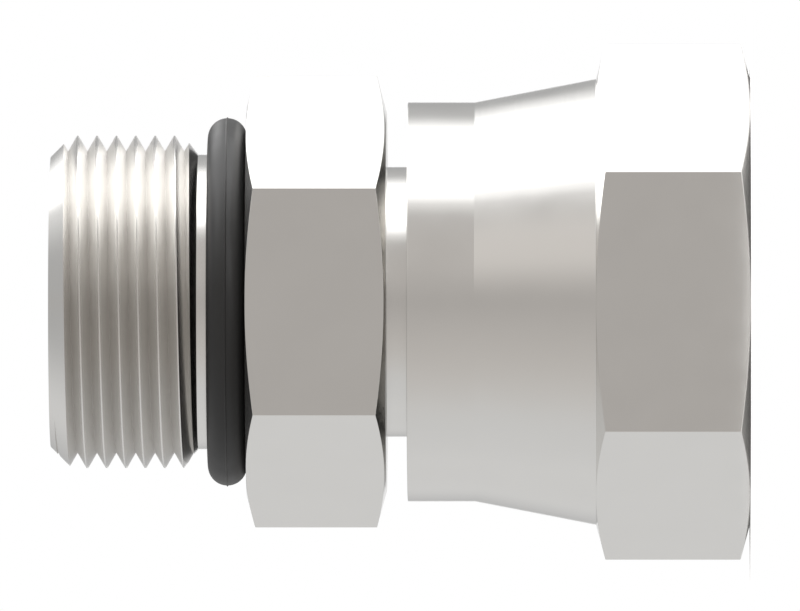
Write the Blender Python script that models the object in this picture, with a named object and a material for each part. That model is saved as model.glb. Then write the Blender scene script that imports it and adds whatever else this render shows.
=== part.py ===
"""Straight swivel adapter for a hydraulic line: a stud end with an O-ring, and a swivel nut.

The fitting stands on the open end of its nut, with its axis along +Z and its stud up.
It has three pieces: a body turned from hexagon bar, a nut crimped round the body's stem,
and an O-ring in the groove under the stud's thread. All lengths are in metres.
"""

import math

import bmesh
import bpy

MM = 0.001

# Facets round every turned surface. A multiple of 12 puts one on each hexagon corner.
SEGMENTS = 48

# Angles of turned faces
HEX_CHAMFER_ANGLE = math.radians(15)
THREAD_FLANK_ANGLE = math.radians(30)
SHOULDER_ANGLE = math.radians(45)

# Outside of the nut, from its open end to its crimped collar
NUT_ACROSS_FLATS = 25.4 * MM
NUT_FACE_INSET = 0.1 * MM
NUT_HEX_LENGTH = 8.74 * MM
NUT_SKIRT_LENGTH = 6.89 * MM
NUT_COLLAR_LENGTH = 3.81 * MM
NUT_COLLAR_DIAMETER = 22.7 * MM

# Inside of the nut
NUT_THREAD_DIAMETER = 22.225 * MM
NUT_THREAD_PITCH = 1.8143 * MM
NUT_THREAD_LENGTH = 8.9 * MM
NUT_ENTRY_CHAMFER = 0.3 * MM
NUT_RELIEF_LENGTH = 2.1 * MM
NUT_RELIEF_DEPTH = 0.15 * MM
NUT_SHOULDER_DEPTH = 12.6 * MM

# Head and neck of the body's stem, inside the nut
HEAD_DIAMETER = 19.9 * MM
HEAD_LENGTH = 3.3 * MM
HEAD_CHAMFER = 0.3 * MM
NECK_DIAMETER = 15.34 * MM
STEM_LENGTH = 11.39 * MM

# Conical seat in the stem's head, and the flow passage behind it
SEAT_ANGLE = math.radians(37)
SEAT_MOUTH_DIAMETER = 18.0 * MM
STEM_BORE_DIAMETER = 12.3 * MM
STEM_BORE_DEPTH = 14.8 * MM
DRILL_POINT_ANGLE = math.radians(59)
STUD_BORE_DIAMETER = 10.3 * MM
STUD_BORE_CHAMFER = 0.3 * MM

# Hexagon of the body
BODY_ACROSS_FLATS = 22.225 * MM
BODY_HEX_LENGTH = 7.94 * MM
BODY_NECK_FACE_INSET = 0.35 * MM
BODY_STUD_FACE_INSET = 0.1 * MM

# Stud end, from the hexagon up
STUD_LENGTH = 11.15 * MM
GROOVE_DIAMETER = 16.75 * MM
GROOVE_LENGTH = 2.77 * MM
STUD_THREAD_DIAMETER = 18.914 * MM
STUD_THREAD_PITCH = 1.101 * MM
STUD_THREAD_CREST = 0.06 * MM
STUD_THREAD_ROOT = 0.05 * MM
STUD_THREAD_PHASE = 0.97 * MM
STUD_BACK_CHAMFER_ANGLE = math.radians(53)
STUD_END_DIAMETER = 16.54 * MM
STUD_END_CHAMFER_ANGLE = math.radians(45)

# The O-ring: its free section, and how far the groove presses its inner side flat
O_RING_SECTION = 2.18 * MM
O_RING_PRESSED_FLAT = 0.28 * MM
O_RING_SEGMENTS = 16

# Clearances between pieces
SWIVEL_END_PLAY = 0.35 * MM
COLLAR_CLEARANCE = 0.4 * MM
HEAD_CLEARANCE = 0.3 * MM
O_RING_CLEARANCE = 0.1 * MM

# How far bar stock and boring tools reach past the surface that they form
STOCK = 0.2 * MM
WELD = 0.001 * MM

# Radii that several pieces share
HEAD_RADIUS = HEAD_DIAMETER / 2
NECK_RADIUS = NECK_DIAMETER / 2
POCKET_RADIUS = HEAD_RADIUS + HEAD_CLEARANCE
GROOVE_RADIUS = GROOVE_DIAMETER / 2

# Heights on the body, counted up from the front face of its head
HEX_BOTTOM = STEM_LENGTH
HEX_TOP = HEX_BOTTOM + BODY_HEX_LENGTH
GROOVE_TOP = HEX_TOP + GROOVE_LENGTH
STUD_TOP = HEX_TOP + STUD_LENGTH

# The head's back rests below the nut's shoulder, less the end play of the swivel
HEAD_BACK_HEIGHT = NUT_SHOULDER_DEPTH + HEAD_CLEARANCE / math.tan(SHOULDER_ANGLE) - SWIVEL_END_PLAY
BODY_HEIGHT = HEAD_BACK_HEIGHT - HEAD_LENGTH


def clear_scene():
    """Remove every object and mesh that the open file holds."""
    for item in list(bpy.data.objects):
        bpy.data.objects.remove(item, do_unlink=True)
    for mesh in list(bpy.data.meshes):
        bpy.data.meshes.remove(mesh)


def principled(name, colour, metallic, roughness):
    """Return a plain Principled BSDF material."""
    material = bpy.data.materials.new(name)
    material.use_nodes = True
    shader = material.node_tree.nodes["Principled BSDF"]
    shader.inputs["Base Color"].default_value = (*colour, 1.0)
    shader.inputs["Metallic"].default_value = metallic
    shader.inputs["Roughness"].default_value = roughness
    return material


def weld(mesh, data):
    """Merge the points that lie together, turn the faces outward and store the mesh."""
    bmesh.ops.remove_doubles(mesh, verts=mesh.verts, dist=WELD)
    bmesh.ops.dissolve_degenerate(mesh, edges=mesh.edges, dist=WELD)
    bmesh.ops.recalc_face_normals(mesh, faces=mesh.faces)
    mesh.to_mesh(data)
    mesh.free()


def place(mesh, name):
    """Put a finished bmesh into the scene as an object of that name."""
    item = bpy.data.objects.new(name, bpy.data.meshes.new(name))
    weld(mesh, item.data)
    bpy.context.scene.collection.objects.link(item)
    return item


def turned(name, profile):
    """Turn a closed outline of (radius, height) points once round Z."""
    mesh = bmesh.new()
    points = [mesh.verts.new((radius, 0, height)) for radius, height in profile]
    edges = [mesh.edges.new((points[i - 1], points[i])) for i in range(len(points))]
    bmesh.ops.spin(
        mesh, geom=points + edges, cent=(0, 0, 0), axis=(0, 0, 1), angle=math.tau, steps=SEGMENTS
    )
    return place(mesh, name)


def hexagon_bar(name, across_flats, bottom, top):
    """Extrude a hexagon with two of its corners on the X axis."""
    corner = corner_radius(across_flats)
    mesh = bmesh.new()
    angles = [math.tau * i / 6 for i in range(6)]
    points = [mesh.verts.new((corner * math.cos(a), corner * math.sin(a), bottom)) for a in angles]
    end = mesh.faces.new(points)
    grown = bmesh.ops.extrude_face_region(mesh, geom=[end], use_keep_orig=True)
    moved = [part for part in grown["geom"] if isinstance(part, bmesh.types.BMVert)]
    bmesh.ops.translate(mesh, verts=moved, vec=(0, 0, top - bottom))
    return place(mesh, name)


def threaded_rod(name, radius, pitch, crest, root, start, top):
    """Sweep one pitch of a 60 degree thread up a right-handed helix, and close both ends.

    At angle 0 a groove's middle lies at the start height. Every turn joins the next one,
    so the thread is one skin, with a cone to a point on the axis at each end.
    """
    depth = thread_depth(pitch, crest, root)
    flank = (pitch - crest - root) / 2
    groove_end = start + root / 2
    section = [
        (radius - depth, start - root / 2),
        (radius - depth, groove_end),
        (radius, groove_end + flank),
        (radius, groove_end + flank + crest),
        (radius - depth, start - root / 2 + pitch),
    ]
    steps = math.ceil((top - start) / pitch * SEGMENTS)
    rise = pitch / SEGMENTS
    mesh = bmesh.new()
    points = [mesh.verts.new((r, 0, z)) for r, z in section]
    edges = [mesh.edges.new(pair) for pair in zip(points, points[1:])]
    bmesh.ops.spin(
        mesh,
        geom=points + edges,
        cent=(0, 0, 0),
        axis=(0, 0, 1),
        angle=math.tau * steps / SEGMENTS,
        steps=steps,
        dvec=(0, 0, rise),
    )
    bmesh.ops.remove_doubles(mesh, verts=mesh.verts, dist=WELD)
    rims = [edge for edge in mesh.edges if edge.is_boundary]
    middle = start + steps * rise / 2
    for low in (True, False):
        rim = [edge for edge in rims if (edge.verts[0].co.z < middle) == low]
        apex = (0, 0, start if low else start + steps * rise + pitch)
        drawn = bmesh.ops.extrude_edge_only(mesh, edges=rim)
        tip = [part for part in drawn["geom"] if isinstance(part, bmesh.types.BMVert)]
        bmesh.ops.pointmerge(mesh, verts=tip, merge_co=apex)
    return place(mesh, name)


def combine(piece, tool, operation):
    """Cut, join or trim a piece by a tool with one exact Boolean, and drop the tool."""
    modifier = piece.modifiers.new(operation.title(), "BOOLEAN")
    modifier.operation = operation
    modifier.solver = "EXACT"
    modifier.object = tool
    mesh = bmesh.new()
    mesh.from_object(piece, bpy.context.evaluated_depsgraph_get())
    piece.modifiers.clear()
    weld(mesh, piece.data)
    bpy.data.objects.remove(tool)


def finish(piece, name, material, height):
    """Name a piece, stand it at its height, shade it and give it its material."""
    piece.name = name
    piece.data.name = name
    piece.location.z = height
    piece.data.materials.clear()
    piece.data.materials.append(material)
    piece.data.shade_smooth()
    piece.data.set_sharp_from_angle(angle=math.radians(10))
    return piece


def corner_radius(across_flats):
    """Return the distance from a hexagon's axis to its corners."""
    return across_flats / 2 / math.cos(math.radians(30))


def thread_depth(pitch, crest, root):
    """Return the depth of a thread whose flats leave the rest of the pitch to its flanks."""
    return (pitch - crest - root) / 2 / math.tan(THREAD_FLANK_ANGLE)


def chamfered_hexagon(across_flats, lower_inset, bottom, upper_inset, top):
    """Return the outline that turns a chamfer on both ends of a hexagon."""
    rim = corner_radius(across_flats) + STOCK
    lower = across_flats / 2 - lower_inset
    upper = across_flats / 2 - upper_inset
    return [
        (lower, bottom),
        (rim, bottom + (rim - lower) * math.tan(HEX_CHAMFER_ANGLE)),
        (rim, top - (rim - upper) * math.tan(HEX_CHAMFER_ANGLE)),
        (upper, top),
    ]


def make_nut(material):
    """Turn the nut, trim it to its hexagon and tap it."""
    skirt_top = NUT_HEX_LENGTH + NUT_SKIRT_LENGTH
    collar_top = skirt_top + NUT_COLLAR_LENGTH
    collar_bore = NECK_RADIUS + COLLAR_CLEARANCE
    shoulder_top = NUT_SHOULDER_DEPTH + (POCKET_RADIUS - collar_bore) / math.tan(SHOULDER_ANGLE)
    major = NUT_THREAD_DIAMETER / 2
    crest = NUT_THREAD_PITCH / 4
    root = NUT_THREAD_PITCH / 8
    drill = major - thread_depth(NUT_THREAD_PITCH, crest, root) - STOCK
    entry = major + NUT_ENTRY_CHAMFER
    relief = major + NUT_RELIEF_DEPTH
    relief_top = NUT_THREAD_LENGTH + NUT_RELIEF_LENGTH
    outside = chamfered_hexagon(NUT_ACROSS_FLATS, NUT_FACE_INSET, 0, NUT_FACE_INSET, NUT_HEX_LENGTH)
    collar = [(NUT_COLLAR_DIAMETER / 2, skirt_top), (NUT_COLLAR_DIAMETER / 2, collar_top)]
    inside = [
        (collar_bore, collar_top),
        (collar_bore, shoulder_top),
        (POCKET_RADIUS, NUT_SHOULDER_DEPTH),
        (POCKET_RADIUS, relief_top),
        (relief, relief_top),
        (relief, NUT_THREAD_LENGTH),
        (drill, NUT_THREAD_LENGTH),
        (drill, entry - drill),
        (entry, 0),
    ]
    nut = turned("nut_blank", outside + collar + inside)
    bar = hexagon_bar("nut_bar", NUT_ACROSS_FLATS, -STOCK, collar_top + STOCK)
    combine(nut, bar, "INTERSECT")
    # The tap's last section ends in the middle of the relief
    tap_top = NUT_THREAD_LENGTH + (NUT_RELIEF_LENGTH - NUT_THREAD_PITCH) / 2
    tap = threaded_rod("nut_tap", major, NUT_THREAD_PITCH, root, crest, -2 * NUT_THREAD_PITCH, tap_top)
    combine(nut, tap, "DIFFERENCE")
    return finish(nut, "swivel_nut", material, 0)


def make_body(material):
    """Join a hexagon bar and a threaded rod, and turn the whole outline out of them."""
    seat_radius = SEAT_MOUTH_DIAMETER / 2
    stem_bore = STEM_BORE_DIAMETER / 2
    stud_bore = STUD_BORE_DIAMETER / 2
    stud_end = STUD_END_DIAMETER / 2
    thread_blank = STUD_THREAD_DIAMETER / 2 + STOCK
    seat_bottom = (seat_radius - stem_bore) / math.tan(SEAT_ANGLE)
    bore_step = STEM_BORE_DEPTH + (stem_bore - stud_bore) / math.tan(DRILL_POINT_ANGLE)
    stem = [
        (seat_radius, 0),
        (HEAD_RADIUS - HEAD_CHAMFER, 0),
        (HEAD_RADIUS, HEAD_CHAMFER),
        (HEAD_RADIUS, HEAD_LENGTH),
        (NECK_RADIUS, HEAD_LENGTH + (HEAD_RADIUS - NECK_RADIUS) / math.tan(SHOULDER_ANGLE)),
        (NECK_RADIUS, HEX_BOTTOM),
    ]
    hexagon = chamfered_hexagon(
        BODY_ACROSS_FLATS, BODY_NECK_FACE_INSET, HEX_BOTTOM, BODY_STUD_FACE_INSET, HEX_TOP
    )
    stud = [
        (GROOVE_RADIUS, HEX_TOP),
        (GROOVE_RADIUS, GROOVE_TOP),
        (thread_blank, GROOVE_TOP + (thread_blank - GROOVE_RADIUS) / math.tan(STUD_BACK_CHAMFER_ANGLE)),
        (thread_blank, STUD_TOP - (thread_blank - stud_end) / math.tan(STUD_END_CHAMFER_ANGLE)),
        (stud_end, STUD_TOP),
    ]
    passage = [
        (stud_bore + STUD_BORE_CHAMFER, STUD_TOP),
        (stud_bore, STUD_TOP - STUD_BORE_CHAMFER),
        (stud_bore, bore_step),
        (stem_bore, STEM_BORE_DEPTH),
        (stem_bore, seat_bottom),
    ]
    bar_top = HEX_TOP + GROOVE_LENGTH / 2
    body = hexagon_bar("body_bar", BODY_ACROSS_FLATS, -STOCK, bar_top)
    # Whole turns below the first groove at the stud's end, until the rod starts inside the bar
    turns = math.ceil((STUD_TOP - STUD_THREAD_PHASE - bar_top) / STUD_THREAD_PITCH) + 2
    start = STUD_TOP - STUD_THREAD_PHASE - turns * STUD_THREAD_PITCH
    rod = threaded_rod(
        "stud_rod",
        STUD_THREAD_DIAMETER / 2,
        STUD_THREAD_PITCH,
        STUD_THREAD_CREST,
        STUD_THREAD_ROOT,
        start,
        STUD_TOP + STUD_THREAD_PITCH,
    )
    combine(body, rod, "UNION")
    combine(body, turned("body_outline", stem + hexagon + stud + passage), "INTERSECT")
    return finish(body, "adapter_body", material, BODY_HEIGHT)


def make_o_ring(material):
    """Turn the O-ring: a round section with its inner side pressed flat on the groove."""
    radius = O_RING_SECTION / 2
    inner = GROOVE_RADIUS + O_RING_CLEARANCE
    middle = inner + radius - O_RING_PRESSED_FLAT
    profile = []
    for i in range(O_RING_SEGMENTS):
        angle = math.tau * (i + 0.5) / O_RING_SEGMENTS
        profile.append((max(inner, middle + radius * math.cos(angle)), radius * math.sin(angle)))
    ring = turned("ring_blank", profile)
    return finish(ring, "o_ring", material, BODY_HEIGHT + HEX_TOP + O_RING_CLEARANCE + radius)


def main():
    clear_scene()
    make_nut(principled("nut_steel", (0.74, 0.73, 0.71), 1.0, 0.28))
    make_body(principled("body_steel", (0.74, 0.73, 0.71), 1.0, 0.28))
    make_o_ring(principled("ring_rubber", (0.03, 0.03, 0.03), 0.0, 0.55))


main()
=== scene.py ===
# %% [markdown]
# # The looks of a straight swivel adapter
#
# The fitting has three pieces: a body turned from hexagon bar, a nut that swivels on the body's
# stem, and a rubber O-ring in the groove behind the stud's thread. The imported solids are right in
# size but coarse, so each one gets a finely worked surface here that stands for it.
#
# Every surface is the same idea: an outline, a list of radii and heights, is carried round the
# axis. Where the real piece was turned, the radius is the same at every angle. Where it is still
# hexagon bar or a thread, the radius or the height changes with the angle.

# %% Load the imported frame
import math

import bmesh
import bpy
import numpy as np
from mathutils import Matrix, Vector


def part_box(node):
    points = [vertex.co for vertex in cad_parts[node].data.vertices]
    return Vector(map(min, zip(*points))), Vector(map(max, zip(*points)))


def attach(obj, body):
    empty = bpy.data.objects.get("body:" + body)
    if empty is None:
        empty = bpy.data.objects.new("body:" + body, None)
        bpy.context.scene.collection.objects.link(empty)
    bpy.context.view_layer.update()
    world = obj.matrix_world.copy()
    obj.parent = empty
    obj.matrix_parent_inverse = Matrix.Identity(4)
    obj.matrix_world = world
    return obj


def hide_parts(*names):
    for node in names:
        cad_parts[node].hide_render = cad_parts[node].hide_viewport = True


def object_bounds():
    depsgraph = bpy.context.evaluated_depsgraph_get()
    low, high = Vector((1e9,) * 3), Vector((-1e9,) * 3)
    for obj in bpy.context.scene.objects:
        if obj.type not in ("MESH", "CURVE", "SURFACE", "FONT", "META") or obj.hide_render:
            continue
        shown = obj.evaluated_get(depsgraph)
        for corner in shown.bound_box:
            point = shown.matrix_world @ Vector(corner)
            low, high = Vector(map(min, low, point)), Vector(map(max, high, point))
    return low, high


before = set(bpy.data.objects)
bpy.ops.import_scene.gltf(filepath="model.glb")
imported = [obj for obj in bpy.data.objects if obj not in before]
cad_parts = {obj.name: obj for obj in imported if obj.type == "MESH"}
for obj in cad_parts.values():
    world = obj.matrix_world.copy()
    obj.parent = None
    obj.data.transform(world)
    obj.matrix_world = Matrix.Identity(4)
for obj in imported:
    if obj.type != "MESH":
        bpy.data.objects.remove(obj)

MM = 0.001


def sides_in_mm(low, high):
    """Return the sides of a box, its high corner less its low one, in millimetres."""
    return [round((b - a) / MM, 2) for a, b in zip(low, high)]


cad_low, cad_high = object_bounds()
body_low, body_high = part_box("adapter_body")
nut_low, nut_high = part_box("swivel_nut")
print("CAD box in mm:", sides_in_mm(cad_low, cad_high))

# %% [markdown]
# ## The camera
#
# The photograph looks square on at the side of the fitting, which lies with its stud to the left.
# Here the fitting stands on its nut, so the camera is turned a quarter turn on its own axis
# instead. The picture has no visible perspective. A parallel camera would do, but a very long lens
# from far away gives nearly the same picture and also frames the fitting from every other side.
# The little perspective that is left is shared out: the scale holds at the depth of most of what
# is seen, and the lens stands low, so that the end face and the floor under it are seen nearly
# edge on.

# %% Place the camera
PHOTO_WIDTH, PHOTO_HEIGHT = 800, 611
# Pixels in a metre, the row of the fitting's axis, and the column of the face that it stands on
PHOTO_SCALE = 17.66 / MM
AXIS_ROW = 301.85
STAND_COLUMN = 750.4
LENS, SENSOR = 1200.0, 36.0
# The depth at which that scale holds, a little nearer than the axis, and the lens's height
TRUE_SCALE_DEPTH = -6 * MM
CAMERA_HEIGHT = 8 * MM


def put_in_scene(name, data):
    """Make an object that shows some data, put it into the scene, and return it."""
    thing = bpy.data.objects.new(name, data)
    bpy.context.scene.collection.objects.link(thing)
    return thing


camera_data = bpy.data.cameras.new("camera")
camera_data.lens = LENS
camera_data.sensor_width = SENSOR
camera = put_in_scene("camera", camera_data)
bpy.context.scene.camera = camera

camera_distance = LENS / SENSOR * PHOTO_WIDTH / PHOTO_SCALE
middle_x = (AXIS_ROW - PHOTO_HEIGHT / 2) / PHOTO_SCALE
middle_z = (STAND_COLUMN - PHOTO_WIDTH / 2) / PHOTO_SCALE
tilt = math.atan2(middle_z - CAMERA_HEIGHT, camera_distance)
camera.location = (middle_x, TRUE_SCALE_DEPTH - camera_distance, CAMERA_HEIGHT)
# It looks along +Y and a little up, with +X up in the picture and +Z to the left
right = Vector((0, math.sin(tilt), -math.cos(tilt)))
up = Vector((1, 0, 0))
camera.rotation_euler = Matrix((right, up, right.cross(up))).transposed().to_euler()
print("camera distance in m:", round(camera_distance, 3))
print("camera tilt in degrees:", round(math.degrees(tilt), 2))

# %% [markdown]
# ## Angles round a hexagonal bar
#
# A hexagon's corner is a sharp change, and a drawn bar has it slightly rounded. Evenly spaced
# angles would miss it, and a Bevel modifier would have to find it again. So the angles are chosen
# first: five of them lie on each rounded corner, two more are close to it on either side, and the
# others are a degree apart on the flats. Every row of points uses the same angles, so any row fits
# the next one.

# %% Angles and radius of a hexagonal bar with rounded corners
EDGE_RADIUS = 0.05 * MM
ANGLE_STEP = math.radians(1)
SIXTH = math.tau / 6
# Angles on half of a rounded corner, as shares of it, and beside it, as shares of a step
CORNER_SHARES = np.array([0, 0.5, 1])
BESIDE_SHARES = np.array([0.25, 0.5])


def corner_circle(across_flats):
    """Return the distance of a corner circle's centre, and the angle at which the circle ends.

    The centre is the sharp corner of a bar whose flats lie further in by the edge radius. The
    circle ends where it touches the flat, straight out from its centre.
    """
    centre = (across_flats / 2 - EDGE_RADIUS) / math.cos(SIXTH / 2)
    aside = EDGE_RADIUS * math.sin(SIXTH / 2)
    end = math.atan2(aside, centre + EDGE_RADIUS * math.cos(SIXTH / 2))
    return centre, end


def bar_angles(across_flats):
    """Return angles for a full turn, close together on the bar's six corners, the first on +X."""
    end = corner_circle(across_flats)[1]
    corner = end * CORNER_SHARES
    near = ANGLE_STEP * BESIDE_SHARES
    flat = np.arange(ANGLE_STEP, SIXTH - ANGLE_STEP / 2, ANGLE_STEP)
    sixth = np.concatenate([corner, near, flat, SIXTH - near[::-1], SIXTH - corner[:0:-1]])
    turns = SIXTH * np.arange(6)[:, None] + sixth
    return np.append(turns.ravel(), math.tau)


def bar_radius(angles, across_flats):
    """Return the distance from the axis to the bar's surface at each angle.

    On a flat it is half the width across flats, over the cosine of the angle to the flat's middle.
    On a corner it is where a ray from the axis leaves the circle that rounds the corner.
    """
    centre, end = corner_circle(across_flats)
    off = np.abs((angles + SIXTH / 2) % SIXTH - SIXTH / 2)
    flat = across_flats / 2 / np.cos(SIXTH / 2 - off)
    inside = np.maximum(EDGE_RADIUS**2 - (centre * np.sin(off)) ** 2, 0)
    corner = centre * np.cos(off) + np.sqrt(inside)
    return np.where(off < end, corner, flat)


print("angles round a bar:", bar_angles(body_high.y - body_low.y).size)

# %% [markdown]
# ## Outlines with broken edges
#
# No machined edge is truly sharp: the deburring wheel or the plating leaves it a few hundredths of
# a millimetre round, and that is what catches the light. Each corner of an outline is swapped for
# a short curve that leaves the first side and joins the second one without a kink. The curve is
# worked out for all angles at once, so an edge that shrinks to nothing, as the hexagon's chamfer
# does in the middle of each flat, takes its rounding down with it.

# %% Round an outline's corners
EDGE_POINTS = 5
LARGEST_SHARE = 0.45


def outline(corners, angles, rounding=EDGE_RADIUS):
    """Return radius and height of the outline's rows, each row one value for every angle.

    A corner's curve starts and ends as far from the corner as a circle of the rounding's radius
    would touch, but never past a share of either side. Between them it is the quadratic blend
    (1 - t)^2 start + 2 t (1 - t) corner + t^2 end.
    """
    path = np.array([[np.broadcast_to(value, angles.shape) for value in pair] for pair in corners])
    middle = path[1:-1]
    back, ahead = path[:-2] - middle, path[2:] - middle
    back_length = np.linalg.norm(back, axis=1, keepdims=True)
    ahead_length = np.linalg.norm(ahead, axis=1, keepdims=True)
    back, ahead = back / back_length, ahead / ahead_length
    cosine = np.sum(back * ahead, axis=1, keepdims=True)
    reach = rounding * np.sqrt((1 + cosine) / (1 - cosine))
    reach = np.minimum(reach, LARGEST_SHARE * np.minimum(back_length, ahead_length))
    start, end = middle + back * reach, middle + ahead * reach
    t = np.linspace(0, 1, EDGE_POINTS)[:, None, None]
    curve = (
        (1 - t) ** 2 * start[:, None] + 2 * t * (1 - t) * middle[:, None] + t**2 * end[:, None]
    )
    rows = np.concatenate([path[:1], curve.reshape(-1, 2, angles.size), path[-1:]])
    return rows[:, 0], rows[:, 1]


print("points on a rounded edge:", EDGE_POINTS)

# %% [markdown]
# ## Threads
#
# A thread is an outline that climbs while it goes round, so that after one turn each edge meets
# the next one up. A sweep with the Screw modifier gives that too, but then the chamfers at the
# stud's ends have to be cut by a Boolean, which leaves slivers. Here the cut is worked out
# instead: the surface is the nearer one of the thread and the chamfer, and extra rows run exactly
# along the line where the two meet.

# %% Section of a thread
FLANK_ANGLE = math.radians(30)


def thread_section(radius, pitch, crest, root):
    """Return offsets and radii of the four edges of a thread, from its root's middle up.

    The crest and the root are flats with a width each. The flanks share the rest of the pitch, and
    a flank's depth is its height over the tangent of its angle.
    """
    flank = (pitch - crest - root) / 2
    inner = radius - flank / math.tan(FLANK_ANGLE)
    offsets = [-root / 2, root / 2, root / 2 + flank, root / 2 + flank + crest]
    return offsets, [inner, inner, radius, radius]


print("degrees between a thread's flanks:", round(math.degrees(2 * FLANK_ANGLE)))

# %% Rows of a trimmed thread
# Points that are closer together than this are one
MERGE = 0.0001 * MM
# A gap that changes by less than this, in metres, is taken to change by this much
SMALLEST_CHANGE = 1e-12


def thread_rows(angles, low, high, pitch, start, section, trim, nearer):
    """Return radius, height and depth of a right-handed thread's rows from a low to a high end.

    A row follows one edge of the section: its height is the start, plus whole pitches, plus the
    edge's offset, plus the pitch times the share of a turn. Between two such rows lies one along
    the cut. Its share of the way is the first row's gap to the trimming surface over the change of
    that gap, held from 0 to 1. The radius is the nearer one, smallest or largest, of thread and
    trimming surface. The depth is the share of the way from the crest's radius to the root's, and
    0 along a trimmed edge.
    """
    offsets, radii = section
    climb = pitch * angles / math.tau

    def own_radius(height):
        """Read the section's radius at each height less the climb, the same in every pitch."""
        return np.interp(height - start - climb, offsets, radii, period=pitch)

    # Two spare pitches lie below the low end, because the climb and the offsets each take up one
    turns = np.arange(math.floor((low - start) / pitch) - 2, math.ceil((high - start) / pitch) + 1)
    edges = (start + turns[:, None] * pitch + np.array(offsets)).reshape(-1, 1) + climb
    gap = own_radius(edges) - trim(edges)
    change = gap[:-1] - gap[1:]
    change = np.where(np.abs(change) < SMALLEST_CHANGE, SMALLEST_CHANGE, change)
    cut = edges[:-1] + np.clip(gap[:-1] / change, 0, 1) * (edges[1:] - edges[:-1])
    height = np.empty((2 * len(edges) - 1, angles.size))
    height[::2], height[1::2] = edges, cut
    height = np.clip(height, low, high)
    own, cutter = own_radius(height), trim(height)
    radius = nearer(own, cutter)
    crest, root = max(radii), min(radii)
    if nearer is np.maximum:
        crest, root = root, crest
    depth = np.where(np.abs(radius - cutter) < MERGE, 0, (crest - own) / (crest - root))
    return radius, height, depth


# %% [markdown]
# ## From rows to a mesh
#
# Each piece is made of one or two grids of points that share their first and last rows. They
# become one mesh, and the points that lie together are merged, which closes the seam at angle 0
# and joins the thread to the rest. Two numbers on every point say what it is: "bar" is 1 on the
# bar's own skin, and "thread" rises from 0 on a thread's crest to 1 at its root. So one steel can
# carry all its finishes and the painted shade in its threads.

# %% Make a mesh of grids
def grid_points(radius, height, angles):
    """Return the points at each row and angle: radius times cosine, radius times sine, height."""
    return np.stack([radius * np.cos(angles), radius * np.sin(angles), height], axis=-1)


def grid_mesh(name, grids, thread_grid):
    """Return a mesh of grids of (points, bar, thread), with creases along one grid's rows.

    A face joins each point of a grid to the next one in its row and to the two in the row after.
    An edge lies along a row where the numbers of its two points differ by 1.
    """
    faces, first, creased = [], 0, (0, 0)
    for number, (points, bar, thread) in enumerate(grids):
        rows, columns = bar.shape
        index = first + np.arange(rows * columns).reshape(rows, columns)
        quads = np.stack([index[:-1, :-1], index[:-1, 1:], index[1:, 1:], index[1:, :-1]], axis=-1)
        faces += quads.reshape(-1, 4).tolist()
        if number == thread_grid:
            creased = (first, first + rows * columns)
        first += rows * columns
    points, bars, threads = zip(*grids)
    mesh = bpy.data.meshes.new(name)
    mesh.from_pydata(np.concatenate([grid.reshape(-1, 3) for grid in points]).tolist(), [], faces)
    for label, numbers in (("bar", bars), ("thread", threads)):
        values = np.concatenate([grid.ravel() for grid in numbers]).astype(np.float32)
        mesh.attributes.new(label, "FLOAT", "POINT").data.foreach_set("value", values)
    ends = np.empty(len(mesh.edges) * 2, np.int32)
    mesh.edges.foreach_get("vertices", ends)
    ends = ends.reshape(-1, 2)
    along = np.abs(ends[:, 0] - ends[:, 1]) == 1
    along &= (ends.min(axis=1) >= creased[0]) & (ends.max(axis=1) < creased[1])
    mesh.attributes.new("crease", "INT", "EDGE").data.foreach_set("value", along.astype(np.int32))
    return mesh


# %% Close the mesh and mark its edges
SHARP_ANGLE = math.radians(35)


def close_mesh(mesh):
    """Merge the points that lie together, turn all faces outward, and measure the mesh.

    Return how many edges don't lie between two faces, which is 0 for a closed mesh, and the volume.
    """
    merged = bmesh.new()
    merged.from_mesh(mesh)
    bmesh.ops.remove_doubles(merged, verts=merged.verts, dist=MERGE)
    bmesh.ops.dissolve_degenerate(merged, edges=merged.edges, dist=MERGE)
    bmesh.ops.recalc_face_normals(merged, faces=merged.faces)
    open_edges = sum(not edge.is_manifold for edge in merged.edges)
    volume = merged.calc_volume(signed=True)
    merged.to_mesh(mesh)
    merged.free()
    return open_edges, volume


def mark_edges(mesh):
    """Shade the mesh smooth, but keep its creases and the edges past the sharp angle sharp."""
    mesh.shade_smooth()
    mesh.set_sharp_from_angle(angle=SHARP_ANGLE)
    sharp = np.empty(len(mesh.edges), bool)
    creases = np.empty(len(mesh.edges), np.int32)
    mesh.attributes["sharp_edge"].data.foreach_get("value", sharp)
    mesh.attributes["crease"].data.foreach_get("value", creases)
    mesh.attributes["sharp_edge"].data.foreach_set("value", sharp | (creases > 0))
    mesh.attributes.remove(mesh.attributes["crease"])


# %% [markdown]
# ## Normals of flat and rounded faces
#
# Smooth shading blends the normals of all faces that meet at a point, so a wide flat face would
# look bent beside a tiny rounding. With a Weighted Normal modifier the larger face wins, and the
# rounding alone takes the turn. The modifier passes over a corner whose faces are very small in
# Blender's units, as many are here in metres. So each mesh is grown for it, and then shrunk back
# with its new normals.

# %% Build a closed piece
# A power of two, by which a mesh grows and shrinks back without rounding
GROWTH = 1024


def weigh_normals(piece):
    """Lean each corner's normal towards its larger faces, with the modifier applied to the mesh."""
    grown = piece.data
    grown.transform(Matrix.Scale(GROWTH, 4))
    weighted = piece.modifiers.new("Flat faces stay flat", "WEIGHTED_NORMAL")
    weighted.keep_sharp = True
    graph = bpy.context.evaluated_depsgraph_get()
    mesh = bpy.data.meshes.new_from_object(
        piece.evaluated_get(graph), preserve_all_data_layers=True, depsgraph=graph
    )
    mesh.transform(Matrix.Scale(1 / GROWTH, 4))
    piece.modifiers.clear()
    piece.data = mesh
    bpy.data.meshes.remove(grown)
    mesh.name = piece.name


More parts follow.
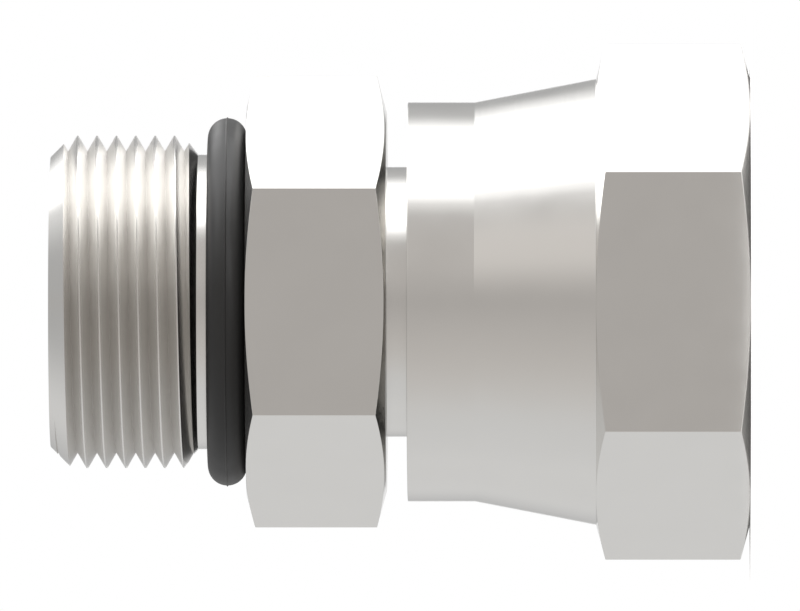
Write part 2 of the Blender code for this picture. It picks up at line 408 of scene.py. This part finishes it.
def closed_piece(name, grids, thread_grid=None):
    """Join grids of (points, bar, thread) to one closed piece, and print what was made."""
    mesh = grid_mesh(name, grids, thread_grid)
    open_edges, volume = close_mesh(mesh)
    mark_edges(mesh)
    piece = put_in_scene(name, mesh)
    weigh_normals(piece)
    faces = len(piece.data.polygons)
    print(f"{name}: {faces} faces, {open_edges} open edges, {volume / MM**3:.0f} mm3")
    return piece


# %% [markdown]
# ## Nodes for the finishes
#
# Each finish is a node material. A few short functions add the nodes that all of them use, so that
# a finish can be read as a list of what it is made of. Soft clouds, a few millimetres wide, vary
# both the shine and the colour a little, because no real surface is quite even.

# %% Helpers for material nodes
CLOUD_SIZE = 2.5 * MM
# The clouds' noise seldom leaves this range
CLOUD_RANGE = (0.3, 0.7)
WHITE = (1, 1, 1)


def rgba(colour, share=1):
    """Return a colour times a share, as red, green, blue and an alpha of 1."""
    return (*[part * share for part in colour], 1)


def feed(node, inputs):
    """Set a node's inputs, each to a value, or to a socket of another node by a link."""
    for key, value in inputs.items():
        if isinstance(value, bpy.types.NodeSocket):
            node.id_data.links.new(value, node.inputs[key])
        else:
            node.inputs[key].default_value = value


def new_material(name):
    """Return a node material, and a function that adds a node of a kind to it."""
    material = bpy.data.materials.new(name)
    material.use_nodes = True

    def add(kind, inputs=None, **settings):
        """Add a node, make its settings, feed its inputs, and return it."""
        node = material.node_tree.nodes.new(kind)
        for key, value in settings.items():
            setattr(node, key, value)
        feed(node, inputs or {})
        return node

    return material, add


def shade(material, inputs):
    """Feed the material's own shader, and return the material."""
    feed(material.node_tree.nodes["Principled BSDF"], inputs)
    return material


def add_noise(add, label, place, size, detail):
    """Return a noise from 0 to 1, with grains of about the given size and some finer detail."""
    inputs = {"Vector": place, "Scale": 1 / size, "Detail": detail}
    return add("ShaderNodeTexNoise", inputs, label=label).outputs[0]


def add_bump(add, height, depth):
    """Return a normal that leans as if the height, from 0 to 1, were that of marks this deep."""
    inputs = {"Height": height, "Distance": depth, "Strength": 1.0}
    return add("ShaderNodeBump", inputs).outputs[0]


def add_range(add, value, source, target=(0, 1), **settings):
    """Return a value taken from a source range to the same share of a target range."""
    inputs = {"Value": value, "From Min": source[0], "From Max": source[1]}
    inputs.update({"To Min": target[0], "To Max": target[1]})
    return add("ShaderNodeMapRange", inputs, **settings).outputs[0]


def add_mix(add, share, first, second):
    """Return a value that goes from the first to the second by the share."""
    # A Mix node's inputs are numbered: 0 is the share, 2 and 3 are values, 6 and 7 colours
    return add("ShaderNodeMix", {0: share, 2: first, 3: second}, data_type="FLOAT").outputs[0]


def add_colour_mix(add, share, first, second, blend="MIX"):
    """Return a colour in which the second is blended into the first by the share."""
    inputs = {0: share, 6: first, 7: second}
    return add("ShaderNodeMix", inputs, data_type="RGBA", blend_type=blend).outputs[2]


def add_clouds(add, place, detail, roughness, colour, tint):
    """Return a roughness that drifts within a range, and a colour darker or lighter by a tint."""
    clouds = add_noise(add, "Clouds", place, CLOUD_SIZE, detail)
    uneven = add_range(add, clouds, CLOUD_RANGE, roughness)
    clouded = add_colour_mix(add, clouds, rgba(colour, 1 - tint), rgba(colour, 1 + tint))
    return uneven, clouded


# %% [markdown]
# ## Bright plated steel
#
# Both metal pieces are steel with a thin bright satin plating. Its colour is nearly neutral, a
# little warm. What tells a turned face from the bar's skin is the direction of the very fine
# marks: a lathe leaves rings round the axis, and drawing the bar through a die leaves lines along
# it. A picture of scratches would need unwrapping, and an anisotropic shader alone shows no marks
# close up. A noise that reads only radius and height makes rings on any turned face, also on a
# cone or an end. One that is stretched along Z makes the drawn lines. A thread is cut with a
# coarser tool, so its flanks are duller, and their colour is made a little darker as painted shade
# in the thread's hollows; only its crests shine as the rest does.

# %% Plated steel
STEEL_COLOUR = (0.74, 0.73, 0.71)
STEEL_TINT = 0.015
STEEL_ROUGHNESS = (0.14, 0.18)
STEEL_DETAIL = 3.0
RING_SPACING = 0.14 * MM
LINE_SPACING = 0.16 * MM
LINE_LENGTH = 30
MARK_DETAIL = 2.0
MARK_DEPTH = 0.0009 * MM
THREAD_ROUGHNESS = 0.33
# Painted shade in a thread's flanks and roots: their colour is multiplied by this
THREAD_PAINTED_SHADE = (0.94, 0.935, 0.93)
# How deep in a thread, from 0 at its crest to 1 at its root, the duller finish and the painted
# shade have come in fully
FLANK_START = 0.15


def lathe_rings(add, place):
    """Return rings round the axis: a noise of the radius, the length of X and Y, and the height."""
    flat = add("ShaderNodeVectorMath", {0: place, 1: (1, 1, 0)}, operation="MULTIPLY")
    radius = add("ShaderNodeVectorMath", {0: flat.outputs["Vector"]}, operation="LENGTH")
    height = add("ShaderNodeSeparateXYZ", {0: place}).outputs["Z"]
    section = add("ShaderNodeCombineXYZ", {"X": radius.outputs["Value"], "Z": height}).outputs[0]
    return add_noise(add, "Rings left by the lathe", section, RING_SPACING, MARK_DETAIL)


def drawn_lines(add, place):
    """Return lines along the axis: a noise of the place with its Z made shorter."""
    squashed = {0: place, 1: (1, 1, 1 / LINE_LENGTH)}
    drawn = add("ShaderNodeVectorMath", squashed, operation="MULTIPLY").outputs["Vector"]
    return add_noise(add, "Lines left by drawing", drawn, LINE_SPACING, MARK_DETAIL)


def plated_steel():
    """Return the plated steel: rings on turned faces, lines on the bar's skin, dull threads with
    painted shade.
    """
    material, add = new_material("plated_steel")
    place = add("ShaderNodeTexCoord").outputs["Object"]
    on_bar = add("ShaderNodeAttribute", attribute_name="bar").outputs["Fac"]
    marks = add_mix(add, on_bar, lathe_rings(add, place), drawn_lines(add, place))
    depth = add("ShaderNodeAttribute", attribute_name="thread").outputs["Fac"]
    in_thread = add_range(add, depth, (0, FLANK_START))
    smooth, clouded = add_clouds(
        add, place, STEEL_DETAIL, STEEL_ROUGHNESS, STEEL_COLOUR, STEEL_TINT
    )
    look = {
        # Painted shade: the colour is darker deeper in a thread
        "Base Color": add_colour_mix(add, in_thread, clouded, rgba(THREAD_PAINTED_SHADE), "MULTIPLY"),
        "Roughness": add_mix(add, in_thread, smooth, THREAD_ROUGHNESS),
        "Normal": add_bump(add, marks, MARK_DEPTH),
        "Metallic": 1.0,
    }
    return shade(material, look)


steel = plated_steel()
print("steel nodes:", len(steel.node_tree.nodes))

# %% [markdown]
# ## The body
#
# The body starts as hexagon bar, and the lathe leaves the bar's skin only in the middle. Its
# outline is followed from the groove down the outside, over the hexagon to the stem's head, in
# through the conical seat and up the bore to the end face. There the thread's rows take over and
# lead back down to the groove. The lathe's 15 degree chamfer cuts the hexagon's corners more than
# its flats: it starts at one radius at the face, and where it runs out on the bar its height
# depends on how far out the bar's surface is, which gives the curved line on each flat.

# %% Sizes of the body
BODY_FLATS = body_high.y - body_low.y
BODY_BOTTOM, STUD_TOP = body_low.z, body_high.z
HEX_CHAMFER = math.tan(math.radians(15))
STUD_LENGTH = 11.15 * MM
BODY_HEX_LENGTH = 7.94 * MM
HEX_TOP = STUD_TOP - STUD_LENGTH
HEX_BOTTOM = HEX_TOP - BODY_HEX_LENGTH
# How far inside the flats a hexagon's turned face ends: hardly at all, but more towards the neck
FACE_INSET = 0.02 * MM
NECK_FACE_INSET = 0.35 * MM
# A radius that is less than this short of the bar's own is still its skin
SKIN_MATCH = 0.00001 * MM

NECK_RADIUS = 7.67 * MM
HEAD_RADIUS = 9.95 * MM
HEAD_LENGTH = 3.3 * MM
SEAT_RADIUS = 9.0 * MM
SEAT_SLOPE = math.tan(math.radians(37))
STEM_BORE = 6.15 * MM
STEM_BORE_DEPTH = 14.8 * MM
DRILL_SLOPE = math.tan(math.radians(59))
STUD_BORE = 5.15 * MM
# The small chamfer on the head's end and in the mouth of the stud's bore
END_CHAMFER = 0.3 * MM

GROOVE_RADIUS = 8.375 * MM
GROOVE_TOP = HEX_TOP + 2.77 * MM
STUD_END_RADIUS = 8.27 * MM
STUD_RADIUS = 9.457 * MM
STUD_PITCH = 1.101 * MM
STUD_CREST, STUD_ROOT = 0.075 * MM, 0.004 * MM
# How far below the stud's end the middle of a root lies at angle 0
STUD_PHASE = 0.97 * MM
RUN_OUT_SLOPE = math.tan(math.radians(53))
print("body hexagon from", round(HEX_BOTTOM / MM, 2), "to", round(HEX_TOP / MM, 2), "mm")


# %% Chamfers of the bar and of the stud
def bar_rows(angles, across_flats, low, low_inset, high, high_inset):
    """Return the four corners of a chamfered hexagon from its upper to its lower face.

    The chamfer's drop on the bar is the bar's radius less the face's, times the chamfer's slope.
    """
    skin = bar_radius(angles, across_flats)
    top, bottom = across_flats / 2 - high_inset, across_flats / 2 - low_inset
    return [
        (top, high),
        (skin, high - (skin - top) * HEX_CHAMFER),
        (skin, low + (skin - bottom) * HEX_CHAMFER),
        (bottom, low),
    ]


def bar_share(radius, height, angles, across_flats, low, high):
    """Return 1 for points on the bar's own skin, between two heights, and 0 for turned ones."""
    skin = radius > bar_radius(angles, across_flats) - SKIN_MATCH
    return (skin & (height > low) & (height < high)).astype(float)


def stud_trim(height):
    """Return the radius that the chamfers at both ends of the stud leave at each height.

    The end's chamfer is at 45 degrees. The other one climbs out of the groove at its own slope.
    """
    end = STUD_END_RADIUS + (STUD_TOP - height)
    run_out = GROOVE_RADIUS + (height - GROOVE_TOP) * RUN_OUT_SLOPE
    return np.minimum(end, run_out)


# %% Make the body
def turned_piece(name, angles, outside, bar, thread):
    """Join an outline's rows and a thread's rows, each given by radius and height, to a piece."""
    rest = (grid_points(*outside, angles), bar, 0 * bar)
    radius, height, depth = thread
    cut = (grid_points(radius, height, angles), 0 * depth, depth)
    return closed_piece(name, [rest, cut], thread_grid=1)


def make_body():
    """Return the body: its outline from the groove round to the stud's end, and its thread."""
    angles = bar_angles(BODY_FLATS)
    seat_top = BODY_BOTTOM + (SEAT_RADIUS - STEM_BORE) / SEAT_SLOPE
    bore_end = BODY_BOTTOM + STEM_BORE_DEPTH
    corners = [
        (GROOVE_RADIUS, GROOVE_TOP),
        (GROOVE_RADIUS, HEX_TOP),
        *bar_rows(angles, BODY_FLATS, HEX_BOTTOM, NECK_FACE_INSET, HEX_TOP, FACE_INSET),
        (NECK_RADIUS, HEX_BOTTOM),
        (NECK_RADIUS, BODY_BOTTOM + HEAD_LENGTH + HEAD_RADIUS - NECK_RADIUS),
        (HEAD_RADIUS, BODY_BOTTOM + HEAD_LENGTH),
        (HEAD_RADIUS, BODY_BOTTOM + END_CHAMFER),
        (HEAD_RADIUS - END_CHAMFER, BODY_BOTTOM),
        (SEAT_RADIUS, BODY_BOTTOM),
        (STEM_BORE, seat_top),
        (STEM_BORE, bore_end),
        (STUD_BORE, bore_end + (STEM_BORE - STUD_BORE) / DRILL_SLOPE),
        (STUD_BORE, STUD_TOP - END_CHAMFER),
        (STUD_BORE + END_CHAMFER, STUD_TOP),
        (STUD_END_RADIUS, STUD_TOP),
    ]
    radius, height = outline(corners, angles)
    bar = bar_share(radius, height, angles, BODY_FLATS, HEX_BOTTOM, HEX_TOP)
    section = thread_section(STUD_RADIUS, STUD_PITCH, STUD_CREST, STUD_ROOT)
    start = STUD_TOP - STUD_PHASE
    thread = thread_rows(
        angles, GROOVE_TOP, STUD_TOP, STUD_PITCH, start, section, stud_trim, np.minimum
    )
    return turned_piece("body", angles, (radius, height), bar, thread)


body = make_body()
body.data.materials.append(steel)

# %% [markdown]
# ## The nut
#
# The nut is hexagon bar too. Above the spanner flats it is turned to a slim conical skirt and a
# collar, and the collar is rolled in behind the stem's head, which holds the nut on and lets it
# turn. Its outline runs from the end of its thread over the relief, the pocket for the stem's head
# and the shoulder, out through the collar and back down the outside to the open end.

# %% Sizes of the nut
NUT_FLATS = nut_high.y - nut_low.y
NUT_TOP = nut_high.z
NUT_HEX_LENGTH = 8.74 * MM
SKIRT_TOP = NUT_HEX_LENGTH + 6.89 * MM
COLLAR_RADIUS = 11.35 * MM
COLLAR_BORE = NECK_RADIUS + 0.4 * MM
POCKET_RADIUS = HEAD_RADIUS + 0.3 * MM
SHOULDER_DEPTH = 12.6 * MM
NUT_PITCH = 1.8143 * MM
NUT_CREST, NUT_ROOT = NUT_PITCH / 8, NUT_PITCH / 4
NUT_THREAD_RADIUS = 11.1125 * MM
NUT_THREAD_LENGTH = 8.9 * MM
NUT_ENTRY_RADIUS = NUT_THREAD_RADIUS + 0.3 * MM
RELIEF_RADIUS = NUT_THREAD_RADIUS + 0.15 * MM
RELIEF_TOP = NUT_THREAD_LENGTH + 2.1 * MM
print("nut's skirt from", round(NUT_HEX_LENGTH / MM, 2), "to", round(SKIRT_TOP / MM, 2), "mm")


# %% Make the nut
def nut_trim(height):
    """Return the radius that the 45 degree entry chamfer leaves at each height."""
    return NUT_ENTRY_RADIUS - height


def make_nut():
    """Return the nut: its thread, and its outline from the thread's end round to the open end."""
    angles = bar_angles(NUT_FLATS)
    section = thread_section(NUT_THREAD_RADIUS, NUT_PITCH, NUT_CREST, NUT_ROOT)
    thread = thread_rows(
        angles, 0, NUT_THREAD_LENGTH, NUT_PITCH, 0, section, nut_trim, np.maximum
    )
    last_row = thread[0][-1]
    corners = [
        (last_row, NUT_THREAD_LENGTH),
        (RELIEF_RADIUS, NUT_THREAD_LENGTH),
        (RELIEF_RADIUS, RELIEF_TOP),
        (POCKET_RADIUS, RELIEF_TOP),
        (POCKET_RADIUS, SHOULDER_DEPTH),
        (COLLAR_BORE, SHOULDER_DEPTH + POCKET_RADIUS - COLLAR_BORE),
        (COLLAR_BORE, NUT_TOP),
        (COLLAR_RADIUS, NUT_TOP),
        (COLLAR_RADIUS, SKIRT_TOP),
        *bar_rows(angles, NUT_FLATS, 0, FACE_INSET, NUT_HEX_LENGTH, FACE_INSET),
        (NUT_ENTRY_RADIUS, 0),
    ]
    radius, height = outline(corners, angles)
    bar = bar_share(radius, height, angles, NUT_FLATS, 0, NUT_HEX_LENGTH)
    return turned_piece("nut", angles, (radius, height), bar, thread)


nut = make_nut()
nut.data.materials.append(steel)

# %% [markdown]
# ## The O-ring
#
# An O-ring is moulded in two halves, and where they met a fine line of flash stands up round its
# outside. In its groove the ring is stretched, and its inner side lies flat on the steel. So its
# section is a circle that is cut off at the groove, with a small bump at the parting line.

# %% Make the O-ring
RING_SECTION = 2.21 * MM
RING_INNER = GROOVE_RADIUS + 0.1 * MM
RING_PRESSED = 0.24 * MM
RING_CLEARANCE = 0.01 * MM
FLASH_HEIGHT, FLASH_WIDTH = 0.06 * MM, 0.035 * MM
# How many of its widths the flash reaches to either side, and the steps across it
FLASH_REACH, FLASH_STEPS = 3, 18
RING_STEPS, SECTION_STEPS = 360, 72


def make_o_ring():
    """Carry the section round: radius is the middle's plus r cos a, and height r sin a.

    Here r is the section's radius plus a bell curve of the distance from the parting line, and the
    radius is held outside the groove.
    """
    half = RING_SECTION / 2
    middle = RING_INNER + half - RING_PRESSED
    flash = FLASH_WIDTH / half
    even = np.linspace(-math.pi, math.pi, SECTION_STEPS + 1)
    fine = flash * np.linspace(-FLASH_REACH, FLASH_REACH, FLASH_STEPS + 1)
    around = np.sort(np.concatenate([even[np.abs(even) > FLASH_REACH * flash], fine]))
    own = half + FLASH_HEIGHT * np.exp(-((around / flash) ** 2))
    angles = np.linspace(0, math.tau, RING_STEPS + 1)
    radius = np.maximum(RING_INNER, middle + own * np.cos(around))[:, None] + 0 * angles
    height = (HEX_TOP + RING_CLEARANCE + half + own * np.sin(around))[:, None] + 0 * angles
    points = grid_points(radius, height, angles)
    return closed_piece("seal_ring", [(points, 0 * radius, 0 * radius)])


seal_ring = make_o_ring()

# %% [markdown]
# ## Black rubber
#
# Moulded nitrile rubber is nearly black and half shiny: a wide, soft highlight lies along it. The
# mould gives it a very fine grain, and handling leaves it slightly uneven in shine.

# %% Rubber
RUBBER_COLOUR = (0.0155, 0.0155, 0.0155)
RUBBER_TINT = 0.15
RUBBER_ROUGHNESS = (0.42, 0.5)
RUBBER_DETAIL = 2.0
RUBBER_SHINE = 0.42
GRAIN_SIZE = 0.12 * MM
GRAIN_DEPTH = 0.002 * MM
GRAIN_DETAIL = 3.0


def seal_rubber():
    """Return the rubber: a fine grain, and a shine that varies over a few millimetres."""
    material, add = new_material("seal_rubber")
    place = add("ShaderNodeTexCoord").outputs["Object"]
    grain = add_noise(add, "Grain of the mould", place, GRAIN_SIZE, GRAIN_DETAIL)
    uneven, clouded = add_clouds(
        add, place, RUBBER_DETAIL, RUBBER_ROUGHNESS, RUBBER_COLOUR, RUBBER_TINT
    )
    look = {
        "Base Color": clouded,
        "Roughness": uneven,
        "Normal": add_bump(add, grain, GRAIN_DEPTH),
        "Specular IOR Level": RUBBER_SHINE,
    }
    return shade(material, look)


rubber = seal_rubber()
seal_ring.data.materials.append(rubber)
print("rubber nodes:", len(rubber.node_tree.nodes))

# %% [markdown]
# ## A light tent
#
# Bright metal shows its surroundings, so the surroundings are what has to be lit. Such parts are
# shot in a tent of white cloth. Its walls glow softly, and the wall round the lens stays darker,
# because the room behind it is. Three softboxes shine through the cloth. The wide one beside the
# fitting gives the white band along it, and it fades slowly at its waist, so the band has soft
# edges. The other two, one low in front and one slanting high behind, are mirrored only by faces
# that look up or down, such as a thread's flanks. A glow above the wide one, a faint card and a
# weak fill soften the rest.
#
# Here the tent is a large sphere whose glow depends on bearing and rise, worked out for every
# point. The tent is hidden from the camera's rays, and a round window behind the fitting shows the
# white background to the camera and the metal alike.

# %% Places and strengths of the lights
# Bearings in degrees from the camera's side towards +X, with the wall's glow there
WALL_BEARINGS = (-180, -160, -140, -105, -65, 0, 20, 50, 140, 160, 180)
WALL_GLOW = (0.42, 0.6, 0.77, 0.79, 0.73, 0.515, 0.58, 0.6, 0.58, 0.46, 0.42)
CROWN_GLOW = 0.52
CROWN_EDGES = (45, 85)
# The tint of the wall round the lens, and the cosines of the bearing between which it comes in
WARM_WALL = (1.0, 0.96, 0.925)
WARM_EDGES = (0.2, 0.9)
# How far a light's edge fades to either side, in degrees, unless it has its own blurs
SOFT_EDGE = 6
# The softbox beside the fitting: its bearings, and how far it reaches down and up
SOFTBOX_GLOW = 2.9
SOFTBOX_BEARINGS = (55, 128)
SOFTBOX_RISES = (-50, 50)
# At its waist, which is about as high as the lens, it is slimmer, with edges that fade slowly
WAIST_RISES = (-15, 26)
WAIST_BEARINGS = (68.5, 115)
WAIST_BLURS = (20, 24)
WAIST_LEAN = 0.3
# Each other light has a glow, two bearings, two rises, and a blur for either pair of edges.
# First a long low softbox in front, below the height at which smooth sides mirror the tent
FRONT_BOX = (2.0, (18, 66), (-40, -12), (SOFT_EDGE, 4))
# A slanting softbox high behind the fitting, and a faint card low behind it
BACK_BOX = (2.2, (125, 169), (10, 50), (SOFT_EDGE, 4))
BACK_SLANT = 0.6
CARD = (0.35, (130, 168), (-40, -8), (SOFT_EDGE, SOFT_EDGE))
# The cloth that glows above the wide softbox, and a weak fill above the lens
HALO = (0.3, (48, 136), (50, 64), (10, 8))
FILL = (0.2, (15, 50), (12, 62), (12, 10))
print("the wide softbox is", SOFTBOX_BEARINGS[1] - SOFTBOX_BEARINGS[0], "degrees wide")


# %% Glow of the tent's walls
def smooth_step(value, start, end):
    """Rise from 0 to 1 between start and end, as 3 t^2 - 2 t^3."""
    t = np.clip((value - start) / (end - start), 0, 1)
    return t * t * (3 - 2 * t)


def between(value, edges, blurs=(SOFT_EDGE, SOFT_EDGE)):
    """Return 1 between two edges and 0 outside: a step up at the first, times one down.

    Each step is as wide as its edge's blur to either side.
    """
    rising = smooth_step(value, edges[0] - blurs[0], edges[0] + blurs[0])
    return rising * (1 - smooth_step(value, edges[1] - blurs[1], edges[1] + blurs[1]))


def patch(bearing, rise, glow, bearings, rises, blurs):
    """Return a light's glow between its bearings, times the share between its rises."""
    across, upright = blurs
    beside = between(bearing, bearings, (across, across))
    return glow * beside * between(rise, rises, (upright, upright))


def wide_softbox(bearing, rise):
    """Return the glow of the softbox beside the fitting.

    It is a blend of a wide and a slim patch, and at the waist it is the slim one. Above the lens
    the slim one's near edge moves off, by the lean times the rise.
    """
    near, far = WAIST_BEARINGS
    near = near + WAIST_LEAN * np.clip(rise, 0, WAIST_RISES[1])
    slim = between(bearing, (near, far), WAIST_BLURS)
    waist = between(rise, WAIST_RISES)
    width = waist * slim + (1 - waist) * between(bearing, SOFTBOX_BEARINGS)
    return SOFTBOX_GLOW * width * between(rise, SOFTBOX_RISES)


def tent_glow(direction):
    """Return the colour that the tent sends from each direction.

    The bearing is the arc tangent of X over minus Y, and the rise the arc sine of Z, in degrees.
    The wall's glow is read off between the named bearings and fades into the crown's towards the
    top. To it are added the brightest of the three softboxes, the halo, the card and the fill. The
    back softbox's bearings shrink by its slant times the rise. Round the lens the wall and the
    fill are tinted warm.
    """
    bearing = np.degrees(np.arctan2(direction[..., 0], -direction[..., 1]))
    rise = np.degrees(np.arcsin(direction[..., 2]))
    wall = np.interp(bearing, WALL_BEARINGS, WALL_GLOW)
    wall += (CROWN_GLOW - wall) * smooth_step(rise, *CROWN_EDGES)
    slanted = bearing + BACK_SLANT * np.maximum(rise, 0)
    boxes = np.maximum(wide_softbox(bearing, rise), patch(bearing, rise, *FRONT_BOX))
    boxes = np.maximum(boxes, patch(slanted, rise, *BACK_BOX))
    white = boxes + patch(bearing, rise, *HALO) + patch(bearing, rise, *CARD)
    warmth = smooth_step(np.cos(np.radians(bearing)), *WARM_EDGES)[..., None]
    tint = warmth * np.array(WARM_WALL) + (1 - warmth)
    return (wall + patch(bearing, rise, *FILL))[..., None] * tint + white[..., None]


at_lens = tent_glow(np.array([[0.0, -1.0, 0.0]]))[0]
print("glow at the lens, red, green and blue:", at_lens.round(3))

# %% Build the tent
TENT_RADIUS = 3.0
TENT_STEP = math.radians(3)
WINDOW = math.radians(10)


def make_tent():
    """Build the sphere from rows of equal rise and columns of equal bearing, less its window.

    A point's X is the cosine of its rise times the sine of its bearing, its Y minus the cosine of
    its rise times the cosine of its bearing, and its Z the sine of its rise. The window is where
    a face's middle lies within its angle of +Y.
    """
    rise = np.arange(-math.pi / 2 + TENT_STEP, math.pi / 2 - TENT_STEP / 2, TENT_STEP)[:, None]
    turn = np.arange(0, math.tau, TENT_STEP)
    flat = np.cos(rise)
    direction = np.stack(
        [flat * np.sin(turn), -flat * np.cos(turn), np.sin(rise) + 0 * turn], axis=-1
    )
    rows, columns = direction.shape[:2]
    index = np.arange(rows * columns).reshape(rows, columns)
    ahead = np.roll(index, -1, axis=1)
    faces = np.stack([index[:-1], ahead[:-1], ahead[1:], index[1:]], axis=-1).reshape(-1, 4)
    points = direction.reshape(-1, 3)
    window = points[faces].mean(axis=1)[:, 1] > math.cos(WINDOW)
    shown = faces[~window].tolist() + [index[0].tolist(), index[-1][::-1].tolist()]
    mesh = bpy.data.meshes.new("light_tent")
    mesh.from_pydata((points * TENT_RADIUS).tolist(), [], shown)
    glow = np.ones((len(points), 4), np.float32)
    glow[:, :3] = tent_glow(points)
    mesh.attributes.new("glow", "FLOAT_COLOR", "POINT").data.foreach_set("color", glow.ravel())
    tent = put_in_scene("light_tent", mesh)
    tent.visible_camera = False
    return tent


def tent_cloth():
    """Return a cloth that sends out the glow stored at the tent's points."""
    material, add = new_material("tent_cloth")
    stored = add("ShaderNodeAttribute", attribute_name="glow").outputs["Color"]
    light = add("ShaderNodeEmission", {"Color": stored, "Strength": 1.0})
    feed(material.node_tree.nodes["Material Output"], {"Surface": light.outputs[0]})
    return material


tent = make_tent()
tent.data.materials.append(tent_cloth())
print("tent faces:", len(tent.data.polygons))

# %% [markdown]
# ## Floor and background
#
# The fitting stands on a small round table with a pale matt top. The photograph's ground is pure
# white, so the table is lifted towards it for the camera, for reflections and for what is seen
# through glass. Close to the fitting it is lifted only a little, which paints the table darker
# round the fitting's foot as painted shade, on top of the fitting's real shadow there. The world
# behind the tent is white at a strength of 1.

# %% Make the floor and the world
FLOOR_RADIUS = 20 * MM
FLOOR_COLOUR = (0.88, 0.88, 0.88)
FLOOR_GAP = 0.0001 * MM
FLOOR_CORNERS = 180
# How much the table is lifted near the fitting and away from it, and the radii between the two; the
# smaller lift near the fitting is painted shade round its foot
LIFT_RANGE = (0.05, 0.5)
LIFT_EDGES = (13 * MM, 17 * MM)


def make_floor():
    """Return a flat round top just under the fitting, with its rim at equal angles."""
    turn = np.linspace(0, math.tau, FLOOR_CORNERS, endpoint=False)
    rim = np.stack([np.cos(turn), np.sin(turn), 0 * turn], axis=-1) * FLOOR_RADIUS
    rim[:, 2] = cad_low.z - FLOOR_GAP
    mesh = bpy.data.meshes.new("floor")
    mesh.from_pydata(rim.tolist(), [], [list(range(FLOOR_CORNERS))])
    return put_in_scene("floor", mesh)


def pale_table_top():
    """Return a matt pale top, lifted by the distance from the axis for rays that show it, with
    painted shade near the axis.
    """
    material, add = new_material("pale_table_top")
    rays = add("ShaderNodeLightPath").outputs
    seen = rays["Is Camera Ray"]
    for kind in ("Is Glossy Ray", "Is Transmission Ray"):
        seen = add("ShaderNodeMath", {0: seen, 1: rays[kind]}, operation="MAXIMUM").outputs[0]
    place = add("ShaderNodeTexCoord").outputs["Object"]
    away = add("ShaderNodeVectorMath", {0: place}, operation="LENGTH").outputs["Value"]
    # Painted shade: less lift near the axis darkens the table round the fitting's foot
    lift = add_range(add, away, LIFT_EDGES, LIFT_RANGE, interpolation_type="SMOOTHSTEP")
    shown = add("ShaderNodeMath", {0: seen, 1: lift}, operation="MULTIPLY").outputs[0]
    look = {
        "Base Color": rgba(FLOOR_COLOUR),
        "Roughness": 1.0,
        "Specular IOR Level": 0.0,
        "Emission Color": rgba(WHITE),
        "Emission Strength": shown,
    }
    return shade(material, look)


floor = make_floor()
floor.data.materials.append(pale_table_top())
print("floor corners:", len(floor.data.vertices))

world = bpy.data.worlds.new("white")
world.use_nodes = True
feed(world.node_tree.nodes["Background"], {"Color": rgba(WHITE), "Strength": 1.0})
bpy.context.scene.world = world
bpy.context.scene.view_settings.view_transform = "Standard"

# %% [markdown]
# ## Which piece moves with which body
#
# The body and the O-ring stay together, and the nut turns. Each new surface stands for one packed
# solid, which is hidden, and is tied to the body that it moves with.

# %% Tie the pieces to the frame
for piece, node, moving, finish in (
    (body, "adapter_body", "adapter", "plated_steel"),
    (nut, "swivel_nut", "nut", "plated_steel"),
    (seal_ring, "o_ring", "adapter", "seal_rubber"),
):
    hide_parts(node)
    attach(piece, moving)
